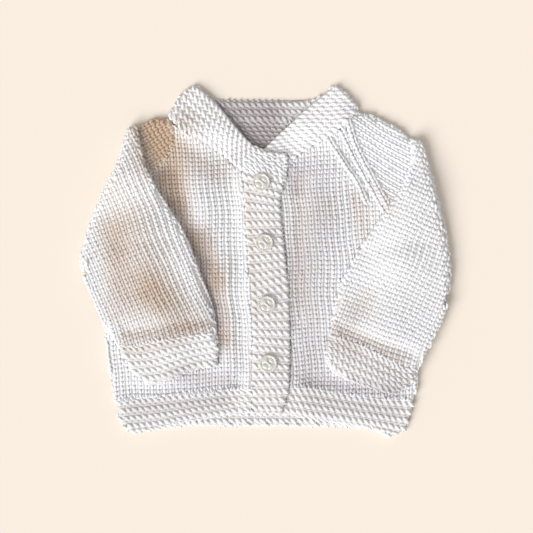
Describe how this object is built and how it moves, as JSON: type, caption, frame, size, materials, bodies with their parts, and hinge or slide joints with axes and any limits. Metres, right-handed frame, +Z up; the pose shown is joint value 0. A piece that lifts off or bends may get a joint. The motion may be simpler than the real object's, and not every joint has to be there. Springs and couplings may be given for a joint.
{
  "type": "baby cardigan",
  "caption": "Hand-knitted newborn cardigan laid flat and buttoned, raglan sleeves folded over the front, with garter bands and round buttons.",
  "frame": {"origin": "centre of the garment's outline, on the surface that it lies on", "axes": "+Z up off the surface, +Y towards the neck, +X to the wearer's left"},
  "size_m": [0.2636, 0.2499, 0.0103],
  "materials": {
    "knit": "white hand-knitted stockinette, soft matt yarn",
    "garter": "white garter stitch in the same yarn, ridged",
    "button": "clear faintly green-grey cast plastic, glossy"
  },
  "bodies": {
    "root": {"back": "knit", "right_front": "knit", "left_front": "knit", "right_sleeve": "knit", "left_sleeve": "knit", "back_hem": "garter", "right_front_hem": "garter", "left_front_hem": "garter", "right_cuff": "garter", "left_cuff": "garter", "neckband": "garter", "buttonhole_band": "garter", "button_band": "garter", "button_1": "button", "button_2": "button", "button_3": "button", "button_4": "button"}
  },
  "joints": []
}
